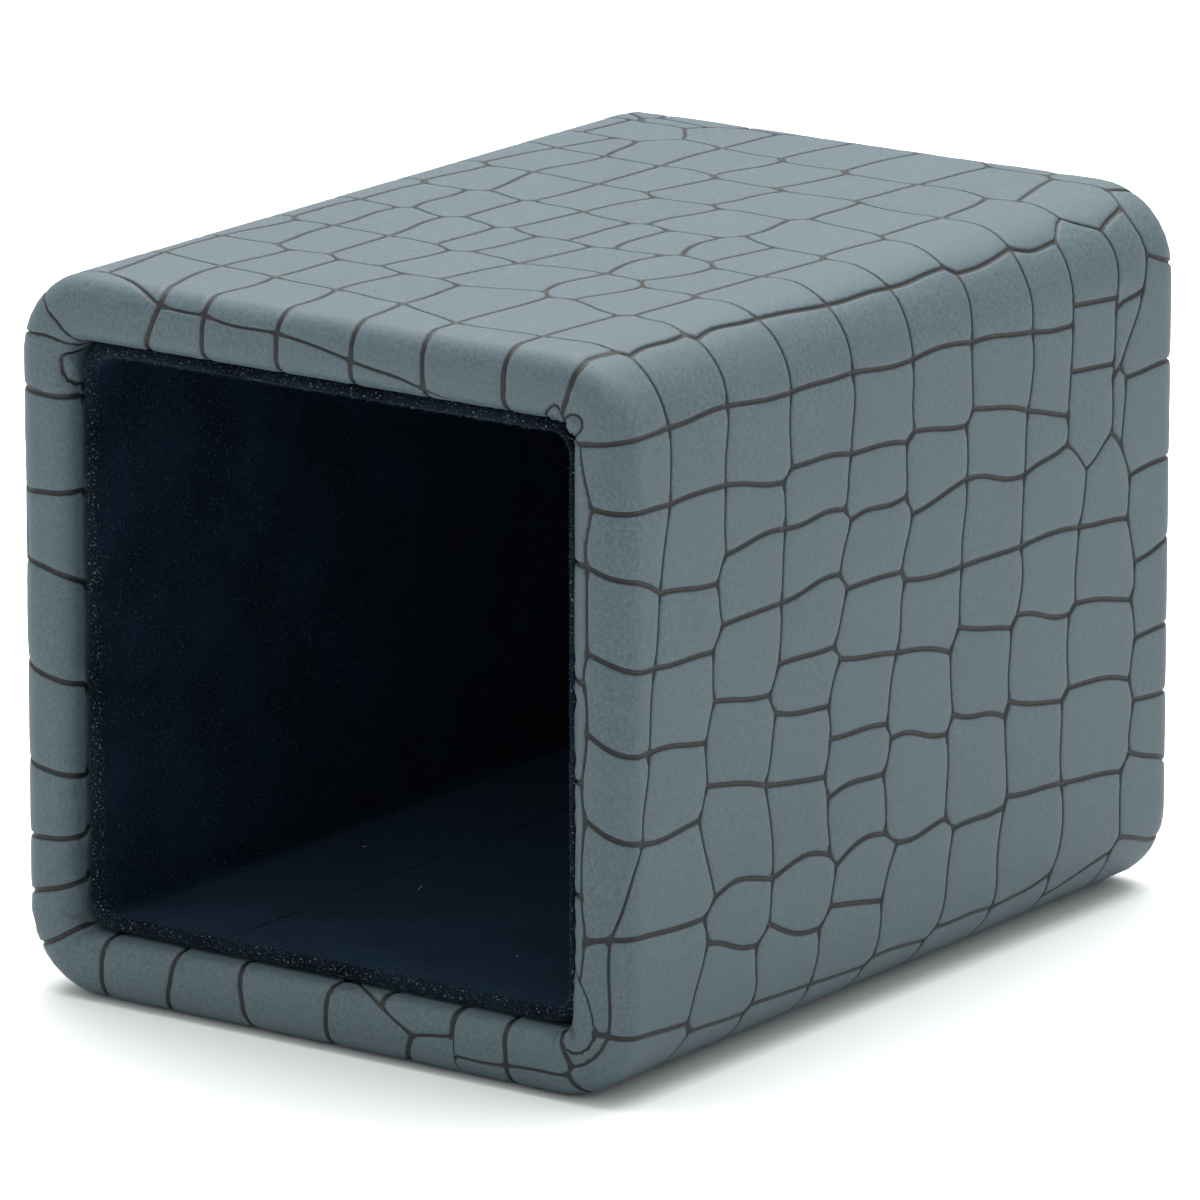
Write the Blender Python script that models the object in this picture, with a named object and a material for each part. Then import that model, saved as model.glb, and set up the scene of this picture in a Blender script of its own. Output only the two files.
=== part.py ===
"""Square leather dice cup lying on one side: mouth towards -Y, closed end towards +Y.

The origin is the middle of the underside, at half the length. Metres, +Z up.
Every layer is its own solid, with the glue line between neighbours left as a gap.
"""

import math

import bmesh
import bpy

# Outside
WIDTH = 0.075  # across, and also from the underside to the top
LENGTH = 0.100  # mouth to closed end
CORNER_RADIUS = 0.0088  # the four long outside corners
LIP_OUTER_RADIUS = 0.003  # where the leather rolls over the edge of an end
LIP_INNER_RADIUS = 0.002  # where it rolls on into the cup
SEAM_X = 0.017  # the leather strip's butt seam, on the underside

# Thicknesses
GLUE_LINE = 0.0003
LEATHER = 0.0009
PADDING = 0.0010
BOARD = 0.0030
BASE_CARD = 0.0018
LINING_CARD = 0.0006
VELVET = 0.0005
FLOOR_CARD = 0.0010
FLOOR_FOAM = 0.0020

# Depths from the mouth or from the closed end
MOUTH_TURN_IN = 0.012  # the leather's margin inside the mouth
LEATHER_IN_SIGHT = 0.0024  # the part of that margin in front of the lining
LINING_CORNER_RADIUS = 0.0034
BOARD_SETBACK = 0.0016  # the boards' end edges behind the leather's face

ARC_STEPS = 8  # segments in a quarter turn of a long corner
LIP_STEPS = 5  # segments in a quarter turn of a lip

# The stack through a wall, as distances in from the outside
PADDING_IN = LEATHER + GLUE_LINE
BOARD_IN = PADDING_IN + PADDING + GLUE_LINE
TURN_IN = BOARD_IN + BOARD + GLUE_LINE
WALL = TURN_IN + LEATHER  # the lip's whole thickness
LINING_IN = WALL + GLUE_LINE
LINING_THICKNESS = LINING_CARD + GLUE_LINE + VELVET
LINING_FACE = LINING_IN + LINING_THICKNESS

# The stack through the closed end, as distances from the mouth
BASE_PANEL_FROM = LENGTH - LEATHER - GLUE_LINE - BASE_CARD
BASE_BOARD_TO = BASE_PANEL_FROM - 2 * GLUE_LINE
BASE_BOARD_FROM = BASE_BOARD_TO - BOARD
FLOOR_TO = BASE_BOARD_FROM - GLUE_LINE
FLOOR_CARD_FROM = FLOOR_TO - FLOOR_CARD
FLOOR_FOAM_TO = FLOOR_CARD_FROM - GLUE_LINE
FLOOR_FOAM_FROM = FLOOR_FOAM_TO - FLOOR_FOAM
FLOOR_FACE = FLOOR_FOAM_FROM - GLUE_LINE - VELVET

LEATHER_GREY = (0.122, 0.162, 0.181)
VELVET_BLACK = (0.006, 0.008, 0.014)
FOAM_WHITE = (0.80, 0.79, 0.74)
BOARD_BROWN = (0.36, 0.24, 0.14)
CARD_GREY = (0.33, 0.32, 0.30)


def clear_scene():
    for found in list(bpy.data.objects):
        bpy.data.objects.remove(found, do_unlink=True)


def new_collection(name):
    made = bpy.data.collections.new(name)
    bpy.context.scene.collection.children.link(made)
    return made


def material(name, colour, roughness):
    made = bpy.data.materials.new(name)
    made.use_nodes = True
    shader = made.node_tree.nodes["Principled BSDF"]
    shader.inputs["Base Color"].default_value = (*colour, 1)
    shader.inputs["Roughness"].default_value = roughness
    shader.inputs["Metallic"].default_value = 0
    made.diffuse_color = (*colour, 1)
    return made


def arc(centre, radius, start, end, steps):
    """Points round a circle, from one angle to another in degrees, both ends included."""
    angles = [math.radians(start + (end - start) * step / steps) for step in range(steps + 1)]
    return [
        (centre[0] + radius * math.cos(angle), centre[1] + radius * math.sin(angle))
        for angle in angles
    ]


def rounded_square(half, radius):
    """A square's outline with round corners, anticlockwise from its lower right corner."""
    centre = half - radius
    outline = []
    for number, (side, height) in enumerate(((1, -1), (1, 1), (-1, 1), (-1, -1))):
        start = 90 * number - 90
        outline += arc((side * centre, height * centre), radius, start, start + 90, ARC_STEPS)
    return outline


def outline_curve(name, points, closed=True):
    """A flat curve object through straight stretches between the points."""
    data = bpy.data.curves.new(name, "CURVE")
    data.dimensions = "2D"
    data.fill_mode = "NONE"
    spline = data.splines.new("POLY")
    spline.points.add(len(points) - 1)
    for place, (x, y) in zip(spline.points, points):
        place.co = (x, y, 0, 1)
    spline.use_cyclic_u = closed
    return bpy.data.objects.new(name, data)


def as_mesh(curve, paint):
    """Swaps a curve object for a part made of its welded mesh, in the same place."""
    bpy.context.scene.collection.objects.link(curve)
    bpy.context.view_layer.update()
    graph = bpy.context.evaluated_depsgraph_get()
    mesh = bpy.data.meshes.new_from_object(curve.evaluated_get(graph))
    body = bmesh.new()
    body.from_mesh(mesh)
    bmesh.ops.remove_doubles(body, verts=body.verts, dist=0.00001)
    bmesh.ops.recalc_face_normals(body, faces=body.faces)
    body.to_mesh(mesh)
    body.free()
    name = curve.name
    placed = curve.matrix_world.copy()
    bpy.data.objects.remove(curve, do_unlink=True)
    made = bpy.data.objects.new(name, mesh)
    made.matrix_world = placed
    mesh.name = name
    mesh.materials.clear()
    mesh.materials.append(paint)
    mesh.shade_smooth()
    mesh.set_sharp_from_angle(angle=math.radians(35))
    parts.objects.link(made)
    return made


def stand_across(thing, depth):
    """Turns a flat outline to face the mouth, with its plane this far behind the mouth."""
    thing.rotation_euler = (math.radians(90), 0, 0)
    thing.location = (0, depth - LENGTH / 2, WIDTH / 2)


def slab(name, outline, near, far, paint):
    """A flat outline with thickness, between two depths from the mouth."""
    curve = outline_curve(name, outline)
    curve.data.fill_mode = "BOTH"
    curve.data.extrude = (far - near) / 2
    stand_across(curve, (near + far) / 2)
    return as_mesh(curve, paint)


def sleeve(name, half, radius, section, paint, seam=None):
    """A section swept round a rounded square, with its ends facing each other at a seam.

    The section's points are (distance in from the square, depth from the mouth).
    """
    route = rounded_square(half, radius)
    if seam is not None:
        route = [(seam + GLUE_LINE / 2, -half)] + route + [(seam - GLUE_LINE / 2, -half)]
    curve = outline_curve(name, route, closed=seam is None)
    shape = outline_curve(name + "_section", [(-inset, -depth) for inset, depth in section])
    guides.objects.link(shape)
    shape.hide_render = True
    shape.display_type = "WIRE"
    curve.data.bevel_mode = "OBJECT"
    curve.data.bevel_object = shape
    curve.data.use_fill_caps = True
    stand_across(curve, 0)
    return as_mesh(curve, paint)


def pocket(thing, half, near, far):
    """Cuts a square pocket out of a slab, to make a tray of it."""
    bpy.ops.mesh.primitive_cube_add(size=1)
    cutter = bpy.context.object
    cutter.name = thing.name + "_pocket"
    cutter.dimensions = (2 * half, far - near, 2 * half)
    cutter.location = (0, (near + far) / 2 - LENGTH / 2, WIDTH / 2)
    cutter.hide_render = True
    cutter.display_type = "WIRE"
    for holder in list(cutter.users_collection):
        holder.objects.unlink(cutter)
    guides.objects.link(cutter)
    cut = thing.modifiers.new("pocket", "BOOLEAN")
    cut.operation = "DIFFERENCE"
    cut.solver = "EXACT"
    cut.object = cutter


def leather_line(below):
    """The leather strip's run from inside the mouth to inside the closed end.

    It lies this far below the leather's face, as (distance in from the outside, depth).
    """
    outer, inner = LIP_OUTER_RADIUS - below, LIP_INNER_RADIUS - below
    outer_at, inner_at = LIP_OUTER_RADIUS, WALL - LIP_INNER_RADIUS
    line = [(WALL - below, MOUTH_TURN_IN)]
    line += arc((inner_at, LIP_INNER_RADIUS), inner, 0, -90, LIP_STEPS)
    line += arc((outer_at, LIP_OUTER_RADIUS), outer, -90, -180, LIP_STEPS)
    line += arc((outer_at, LENGTH - LIP_OUTER_RADIUS), outer, 180, 90, LIP_STEPS)
    line += arc((inner_at, LENGTH - LIP_INNER_RADIUS), inner, 90, 0, LIP_STEPS)
    line.append((WALL - below, BASE_PANEL_FROM))
    return line


def make_leather_sleeve(paint):
    section = leather_line(0) + leather_line(LEATHER)[::-1]
    sleeve("leather_sleeve", WIDTH / 2, CORNER_RADIUS, section, paint, SEAM_X)


def make_padding_sleeve(paint):
    near, far = LIP_OUTER_RADIUS, LENGTH - LIP_OUTER_RADIUS
    section = [(0, near), (PADDING, near), (PADDING, far), (0, far)]
    half, radius = WIDTH / 2 - PADDING_IN, CORNER_RADIUS - PADDING_IN
    sleeve("padding_sleeve", half, radius, section, paint, SEAM_X)


def make_core_boards(paint):
    """Four boards, mitred where they meet, with the cup's corner rounded on each."""
    half, radius = WIDTH / 2 - BOARD_IN, CORNER_RADIUS - BOARD_IN
    centre, inside = half - radius, half - BOARD
    # Half a glue line on each side of the mitre moves a board's ends in by this much.
    back = GLUE_LINE / 2 * math.sqrt(2)
    corner = arc((centre - back, -centre), radius, -90, -45, ARC_STEPS // 2)
    right = corner + [(inside - back, -inside)]
    outline = right + [(-x, y) for x, y in right[::-1]]
    near, far = BOARD_SETBACK, LENGTH - BOARD_SETBACK
    for number, side in enumerate(("bottom", "right", "top", "left")):
        board = slab("core_board_" + side, outline, near, far, paint)
        board.rotation_euler[1] = -math.radians(90 * number)
    base_half = inside - GLUE_LINE
    outline = rounded_square(base_half, GLUE_LINE)
    slab("core_base_board", outline, BASE_BOARD_FROM, BASE_BOARD_TO, paint)


def make_base_panel(leather, card):
    """The closed end's drop-in panel: leather turned over the edges of a card."""
    half, radius = WIDTH / 2 - WALL - GLUE_LINE, CORNER_RADIUS - WALL
    card_half = half - LEATHER - GLUE_LINE
    outline = rounded_square(half, radius)
    panel = slab("leather_base_panel", outline, BASE_PANEL_FROM, LENGTH, leather)
    pocket(panel, half - LEATHER, BASE_PANEL_FROM - LEATHER, LENGTH - LEATHER)
    outline = rounded_square(card_half, GLUE_LINE)
    slab("base_panel_card", outline, BASE_PANEL_FROM, BASE_PANEL_FROM + BASE_CARD, card)


def make_lining(velvet, card):
    """Four cards between the round corners, and the velvet folded over their front edges."""
    half = WIDTH / 2 - LINING_IN
    flat = half - LINING_CORNER_RADIUS
    front = LEATHER_IN_SIGHT
    card_from = front + VELVET + GLUE_LINE
    middle_out, middle_in = half, half - LINING_CARD
    strip = [(-flat, -middle_out), (flat, -middle_out), (flat, -middle_in), (-flat, -middle_in)]
    for number, side in enumerate(("bottom", "right", "top", "left")):
        board = slab("lining_card_" + side, strip, card_from, FLOOR_TO, card)
        board.rotation_euler[1] = -math.radians(90 * number)
    face, behind = LINING_THICKNESS, LINING_THICKNESS - VELVET
    section = [(0, front)]
    section += arc((face - VELVET, front + VELVET), VELVET, -90, 0, LIP_STEPS)
    section += [(face, FLOOR_TO), (behind, FLOOR_TO)]
    section += [(behind, front + VELVET), (0, front + VELVET)]
    sleeve("lining_velvet", half, LINING_CORNER_RADIUS, section, velvet, -flat / 2)


def make_floor(velvet, foam, card):
    """The padded floor: a card and a foam pad, with velvet turned down over their edges."""
    half = WIDTH / 2 - LINING_FACE - GLUE_LINE
    radius = LINING_CORNER_RADIUS - LINING_THICKNESS
    pad_half = half - VELVET - GLUE_LINE
    outline = rounded_square(half, radius)
    cover = slab("floor_velvet", outline, FLOOR_FACE, FLOOR_TO, velvet)
    pocket(cover, half - VELVET, FLOOR_FACE + VELVET, FLOOR_TO + VELVET)
    outline = rounded_square(pad_half, radius)
    slab("floor_foam_pad", outline, FLOOR_FOAM_FROM, FLOOR_FOAM_TO, foam)
    slab("floor_card", outline, FLOOR_CARD_FROM, FLOOR_TO, card)


clear_scene()
parts = new_collection("leather_dice_cup")
guides = new_collection("guides")

embossed_leather = material("embossed_leather", LEATHER_GREY, 0.6)
base_leather = material("base_leather", LEATHER_GREY, 0.6)
black_velvet = material("black_velvet", VELVET_BLACK, 0.95)
thin_foam = material("thin_foam", FOAM_WHITE, 0.9)
fibreboard = material("fibreboard", BOARD_BROWN, 0.85)
greyboard = material("greyboard", CARD_GREY, 0.85)

make_leather_sleeve(embossed_leather)
make_padding_sleeve(thin_foam)
make_core_boards(fibreboard)
make_base_panel(base_leather, greyboard)
make_lining(black_velvet, greyboard)
make_floor(black_velvet, thin_foam, greyboard)
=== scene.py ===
"""The looks of a square dice cup in crocodile-embossed leather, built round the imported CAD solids.

Lengths are in millimetres, and become metres where they are multiplied by MM.
"""

import math
import random

import bmesh
import bpy
import numpy as np
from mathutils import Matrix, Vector
from mathutils.geometry import delaunay_2d_cdt


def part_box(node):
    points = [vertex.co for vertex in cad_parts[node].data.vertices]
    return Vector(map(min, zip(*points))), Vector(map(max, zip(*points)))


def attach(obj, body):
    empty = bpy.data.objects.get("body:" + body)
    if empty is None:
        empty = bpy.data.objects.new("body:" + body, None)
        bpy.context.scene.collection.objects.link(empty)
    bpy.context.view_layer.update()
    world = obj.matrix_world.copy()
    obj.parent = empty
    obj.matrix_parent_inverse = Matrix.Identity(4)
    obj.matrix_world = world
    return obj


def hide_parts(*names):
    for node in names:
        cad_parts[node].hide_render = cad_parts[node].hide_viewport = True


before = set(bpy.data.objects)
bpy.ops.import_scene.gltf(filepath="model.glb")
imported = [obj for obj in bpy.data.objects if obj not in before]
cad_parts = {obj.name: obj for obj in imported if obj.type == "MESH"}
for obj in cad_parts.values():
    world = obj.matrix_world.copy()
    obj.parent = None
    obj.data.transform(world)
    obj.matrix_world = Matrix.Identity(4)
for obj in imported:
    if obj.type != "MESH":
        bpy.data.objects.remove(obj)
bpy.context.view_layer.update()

MM = 0.001

# The cup's own sizes, from the frame, in millimetres
sleeve_low, sleeve_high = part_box("leather_sleeve")
WIDTH = (sleeve_high.x - sleeve_low.x) / MM
LENGTH = (sleeve_high.y - sleeve_low.y) / MM
GLUE_LINE = 0.3
WALL = (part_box("lining_velvet")[0].x - sleeve_low.x) / MM - GLUE_LINE
LEATHER_IN_SIGHT = (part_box("lining_velvet")[0].y - sleeve_low.y) / MM
TURN_UNDER_TO = (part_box("leather_base_panel")[0].y - sleeve_low.y) / MM

# The sizes of the leather sleeve that its box doesn't tell, as in the CAD, in millimetres
CORNER_RADIUS = 8.8
LIP_OUTER_RADIUS = 3.0
LIP_INNER_RADIUS = 2.0
MOUTH_TURN_IN = 12.0
SEAM_X = 17.0
LEATHER = 0.9

# The embossing plate. Its ring grooves run round the cup, and its cross grooves join them.
PLATE_REPEAT = 78.3  # the pattern comes again after this much, round the cup
PLATE_LEAN = math.radians(4.6)  # the hide was laid on the plate at this slant
RING_SPACING = 10.8
FIRST_RING = 14.6
PLATE_BANDS = 9
PLATE_REACH = 190.0  # the grooves are laid this far both ways round from the top's left corner
PLATE_RINGS = range(-3, 14)
BAND_SHIFT = 31.0  # how far round a band that comes again is moved
SAME_PLACE = 0.9  # two cross grooves this near on one ring meet in one crossing
PULL = 0.5  # a cross groove draws its ring towards itself by this much

# Where each band's cross grooves leave its first ring and reach its next, round the cup
CROSS_GROOVES = (
    ((42.2, 41.2), (52.7, 51.0), (62, 59.6), (70.2, 68.6), (76.8, 76.6), (82.3, 84.8), (91.3, 92.3),
     (99.3, 101.1), (108, 110)),
    ((41.2, 40.8), (51.8, 51.2), (60.7, 59.4), (69.3, 68), (76.5, 75.8), (85.6, 85.5), (92.9, 92.3),
     (100.8, 101.3), (110, 109)),
    ((39, 38.2), (43.4, 45), (52.4, 52.2), (60.4, 59.8), (67.8, 68), (75.8, 76.7), (82.8, 81.5),
     (89.8, 89), (97.3, 98), (105.7, 106.8)),
    ((39, 37.7), (43.1, 45), (51.3, 51.4), (59.1, 59.2), (67.6, 67), (75.4, 75.3), (81.4, 80.8),
     (88.8, 87.3), (95.1, 94.6), (100, 100.6), (107.5, 107.8)),
    ((39, 37), (43, 43.9), (50.8, 51), (60, 58.8), (67, 67.3), (75.3, 75.3), (82, 80.8),
     (89, 88.5), (96, 96.7), (104, 103.9), (110.1, 109)),
    ((38.2, 37), (50, 50), (59.4, 58), (66.5, 66.8), (74.3, 74.8), (82.8, 80.5), (89.4, 89.4),
     (96.8, 98), (105.5, 106.5)),
    ((38.3, 37.4), (48.6, 48), (59, 57.3), (65.9, 66.5), (73.2, 74.5), (80.2, 81), (89.3, 88.3),
     (95.6, 97), (104.6, 106.2)),
    ((36.4, 36.5), (48.5, 46), (57.3, 57.5), (66.4, 66.6), (74.7, 76), (81.5, 79), (89, 88),
     (95.8, 97), (104.7, 106)),
    ((36.5, 36.9), (49.3, 45.5), (57.3, 55), (65.8, 64.2), (73, 72), (78.7, 80.3), (88, 88.2),
     (96, 97), (104.8, 105.5)),
)
# How far the rings sway from their even spacing, by place round the cup
SWAY_NEAR_MOUTH = ((41, -3.4), (46, -3.6), (50, -2.6), (53, -1.7), (61, 0.1), (69, 1.0), (76, 1.8),
                   (81, 1.5), (86, 0.5), (100, 0.3), (110, 0), (117, -0.6))
SWAY = ((38, 1.4), (42.5, 0.8), (45.5, -0.5), (54, -0.9), (61, -0.1), (68, 0.2), (76, 0.5), (83, 0.6),
        (90, 0.4), (97, -0.1), (104, -0.8), (111, -1.0), (114.5, -0.5))
CALM_BANDS, CALM_SHARE = (6, 7, 8), 0.6  # these bands' rings sway less, by this share
# How far along the plate the ring on the lips lies, by place round the cup
LIP_RING = 0
RING_ON_LIP = ((-8, 5.0), (0, 5.6), (4.5, 6.4), (9.6, 2.7), (15.3, 3.1), (23.4, 3.6), (24.6, 2.9),
               (32.8, 3.1), (33.8, 1.9), (42.3, 1.2), (48, -3.2), (66, -2.6), (71, 5.0), (75, 5.6),
               (90, 6.2), (110, 7.6), (124, 8.6), (131, 7.0), (138, 4.5), (154, 4.0))
PULL_ON_LIP = 0.4  # the share of the cross grooves' pull that is left on that ring
# Its cross grooves on the top, from where the plate has them to where the stretched leather has them
LIP_FROM = (-1.5, 4.0, 13.0, 21.0, 29.7, 42.2, 52.7, 62.0)
LIP_TO = (0.2, 9.6, 15.1, 24.2, 33.4, 42.2, 52.4, 61.5)
LIP_SLACK = 0.1  # a groove this little outside those is still one of them
# The ring that would run along the mouth's lower lip, pushed inside the mouth but for its start
HEM_RING = -1
HEM_PLACES, HEM_SHIFTS = (-121.5, -119), (-3.6, -9.0)
# Where each cross groove over a lip leaves the hem and reaches the ring on the lips
HEM_GROOVES = ((-125.2, -121.5), (-114.4, -114.7), (-102.0, -106.5), (-94.5, -94.8), (-86.0, -86.3),
               (-78.0, -74.5), (-66.0, -71.5), (-61.5, -64.5), (-57.0, -55.0), (-48.5, -44.5),
               (-38.5, -35.0), (-26.0, -28.0), (-16.0, -17.5), (5.5, 9.6), (16.2, 15.1), (25.0, 24.2),
               (34.2, 33.4), (42.6, 42.2), (53.4, 52.4), (62.5, 61.5), (83.5, 83.0), (94.0, 94.5),
               (105.0, 104.5), (116.0, 116.0), (147.5, 147.0))
# The ring after the one on the lips is drawn towards the mouth near the seam
SEAM_PLACES, SEAM_SHIFTS = (128, 139), (0, -2.7)
# One ring parts and closes again round a column of small cells
EYE_RING = 8
EYE_FROM, EYE_TO = 54.8, 82.0
EYE_NEAR, EYE_FAR = -2.9, 5.2  # how far each branch is from the ring's own line
EYE_TIP = 0.8  # how far its tips are
EYE_CROSSINGS = (64.6, 71.5)
EYE_OVERLAP = 0.5  # its crossings run this far past both branches
# Random spread of a groove's end, alone on its ring or met by another, and of a groove's shape
END_SPREAD, MET_END_SPREAD = 0.15, 0.12
CROSS_BOW_SPREAD = 0.22
RING_BOW_SPREAD, WAVER_SPREAD = 0.03, 0.012  # as shares of the groove's length
BOWED_GROOVES, BOWED_BY = ((2, 0), (3, 0), (4, 0)), -1.0  # (band, groove) that bow clearly one way

# Tabs folded at the mouth's corners: which corner, from and to there round the cup, and their tops
LIP_FOLDS = ((5, -1.2, 4.5, -1.3), (5, 4.5, 11.2, -0.5), (5, 11.2, 14.2, -2.9), (7, -5.0, 11.0, 0.2),
             (3, -2.8, 2.6, -2.4))
FOLD_PARTS = 14
FOLD_BLUNTNESS = 0.7  # below 1, a tab's outline is fuller than half an ellipse
FOLD_OVERLAP = 0.01  # its outline crosses the embossing's edge by this much
# Creases that fan out from the mouth's top left corner, from the lining outwards
LIP_CREASES = (
    (3, ((6.0, -5.3), (6.2, -3.4), (4.9, -1.2), (3.2, 1.2), (2.0, 4.0), (1.6, 8.0))),
    (3, ((9.4, -5.3), (9.2, -3.2), (8.2, -1.0), (7.4, 1.4), (7.2, 8.0))),
)

# The grooves' section and the cells' swell
RING_HALF_WIDTH = 0.19
CROSS_HALF_WIDTH = 0.31
CREASE_HALF_WIDTH = 0.13
GROOVE_DEPTH = 0.27
RING_DEPTH = 0.8  # a ring's depth as a share of that
PILLOW = 0.05  # how far a cell swells up
FOLD_SWELL = 0.28  # the same for a folded tab
LEAST_SWELL, MOST_SWELL = 0.5, 1.5  # the random share of it that a cell gets

# The mesh of an embossed sheet
GROOVE_STEP = 1.1  # between points along a groove
LIP_STEP = 0.62  # the same where the leather rolls over a lip
BORDER_STEP = 1.2  # the same along the strip's long borders
SEAM_HALF_GAP = 0.08
SHARP_LEATHER = math.radians(75)
NET_TOLERANCE = 1e-4
JUST_PAST = 1.0002  # scales an outline so that points on it are inside it
NUDGE = 0.01
CLOSE_STEP = 0.26  # between points where a bent cell is filled over a close grid
COARSE_EVERY = 3  # of those points, one in this many is kept away from the grooves
SPINE_SHARE = 0.8  # how much of a cell's extra length its middle line takes
HALVINGS = 11  # steps of the search for a loop's distance from a groove
MOST_INWARD = 0.96  # a loop goes no nearer than this to the cell's middle, as a share
LOOP_GAP = 0.002  # and this much further in than the one before
LEAST_CLEAR = 0.8  # a loop has to clear the groove by this share of the distance wanted
MOST_MOVED, MOVED_SLACK = 4.5, 0.2  # and may move this many times that distance, and this more
TIGHTEST_CELL = 0.3  # a cell with less room than this is all groove
LARGEST_CELL = 600.0  # a cell over this area is the plain margin
GRID_GAP = 0.7  # between a cell's outline and the points in its middle
BACK_GAP = 0.9  # the same on the plain back and the plain margin
WALL_DEPTH, EDGE_DEPTH = 0.86, 0.14  # a groove's depth halfway up its wall and at its edge, as shares
EASE = 0.22  # beyond the edge, the leather is level after this much
SWELL_FROM_EASE = 0.73  # and on the cell's full swell after this much more
RIM_SWELL = 0.7  # the share of the swell at the last loop
# Loops from a groove's middle into a cell: share of the groove's half width, more than that, the
# most as a share of the cell's room, and the depth left as a share, or ON_SWELL
ON_SWELL = -1
LOOPS = ((0.5, 0, 0.14, WALL_DEPTH), (1.0, 0, 0.28, EDGE_DEPTH), (1.0, EASE, 0.42, 0.0),
         (1.0, 0.95, 0.62, ON_SWELL))

LIP_FLAT = WALL - LIP_INNER_RADIUS - LIP_OUTER_RADIUS
QUARTER = math.pi / 2


def leather_run():
    """The leather's run from the mouth's margin to the closed end's, as stations.

    Each is how far along it is, which way its face points (0 out, 90 to the mouth), and the radius,
    inset and depth of the rounding it belongs to.
    """
    inner, outer = LIP_INNER_RADIUS, LIP_OUTER_RADIUS
    inner_at, outer_at = WALL - inner, outer
    lip_front = LIP_FLAT / 3
    along = lip_front - LIP_FLAT - QUARTER * inner - (MOUTH_TURN_IN - inner)
    legs = (
        (180, inner, inner_at, MOUTH_TURN_IN, MOUTH_TURN_IN - inner),
        (180, inner, inner_at, inner, QUARTER * inner),
        (90, inner, inner_at, inner, LIP_FLAT),
        (90, outer, outer_at, outer, QUARTER * outer),
        (0, outer, outer_at, outer, LENGTH - 2 * outer),
        (0, outer, outer_at, LENGTH - outer, QUARTER * outer),
        (-90, outer, outer_at, LENGTH - outer, LIP_FLAT),
        (-90, inner, inner_at, LENGTH - inner, QUARTER * inner),
        (-180, inner, inner_at, LENGTH - inner, LENGTH - inner - TURN_UNDER_TO),
        (-180, inner, inner_at, TURN_UNDER_TO, 0),
    )
    stations = []
    for facing, radius, inset, depth, length in legs:
        stations.append((along, facing, radius, inset, depth))
        along += length
    return np.array(stations)


RUN = leather_run()
RUN_START, RUN_END = RUN[0, 0], RUN[-1, 0]
UNDER_LINING = 0.5  # the embossing starts this far under the lining
MOUTH_EDGE = RUN[1, 0] - (LEATHER_IN_SIGHT - LIP_INNER_RADIUS) - UNDER_LINING
SIDE_START, SIDE_END = RUN[4, 0], RUN[5, 0]

# The girth, clockwise for someone who looks in at the mouth, from the seam on the underside
FLAT = WIDTH - 2 * CORNER_RADIUS
CORNER_RUN = QUARTER * CORNER_RADIUS
girth_legs = (FLAT / 2 + SEAM_X, CORNER_RUN, FLAT, CORNER_RUN, FLAT, CORNER_RUN, FLAT, CORNER_RUN,
              FLAT / 2 - SEAM_X)
GIRTH_AT = np.concatenate([[0], np.cumsum(girth_legs)])
GIRTH = GIRTH_AT[-1]
GIRTH_FACING = np.array((-90, -90, -180, -180, -270, -270, -360, -360, -450, -450))
side, low, high = FLAT / 2, CORNER_RADIUS, WIDTH - CORNER_RADIUS
GIRTH_X = np.array((SEAM_X, -side, -side, -side, -side, side, side, side, side, SEAM_X))
GIRTH_Z = np.array((low, low, low, high, high, high, high, low, low, low))
TOP_LEFT = GIRTH_AT[4]  # the plate's own origin lies here, where the top begins


def on_sleeve(around, along, height):
    """Points on the leather sleeve, in metres, from places on the unrolled strip."""
    facing = np.radians(np.interp(along, RUN[:, 0], RUN[:, 1]))
    radius, inset, depth = (np.interp(along, RUN[:, 0], RUN[:, n]) for n in (2, 3, 4))
    inset = inset - (radius + height) * np.cos(facing)
    depth = depth - (radius + height) * np.sin(facing)
    turn = np.radians(np.interp(around, GIRTH_AT, GIRTH_FACING))
    out = CORNER_RADIUS - inset
    x = np.interp(around, GIRTH_AT, GIRTH_X) + out * np.cos(turn)
    z = np.interp(around, GIRTH_AT, GIRTH_Z) + out * np.sin(turn)
    return np.stack([x, depth - LENGTH / 2, z], axis=1) * MM


# The grooves' layout


def sway(ring, place):
    """How far a ring is from its even spacing at a place on the plate."""
    if ring == HEM_RING:
        return float(np.interp(place, HEM_PLACES, HEM_SHIFTS))
    table = SWAY_NEAR_MOUTH if ring % PLATE_BANDS in (0, 1) else SWAY
    share = CALM_SHARE if ring % PLATE_BANDS in CALM_BANDS else 1
    places = [spot for spot, shift in table]
    shifts = [shift for spot, shift in table]
    return share * float(np.interp(place, places, shifts, period=PLATE_REPEAT))


def plate_phase(band, place):
    """A place on the plate as the first nine bands count it."""
    return place - (band // PLATE_BANDS) * BAND_SHIFT


def in_eye(ring, place):
    """Whether a place on a ring lies where the ring has parted."""
    if ring % PLATE_BANDS != EYE_RING or ring == HEM_RING:
        return False
    spot = plate_phase(ring, place) % PLATE_REPEAT
    return EYE_FROM < spot < EYE_TO or EYE_FROM < spot + PLATE_REPEAT < EYE_TO


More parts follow.
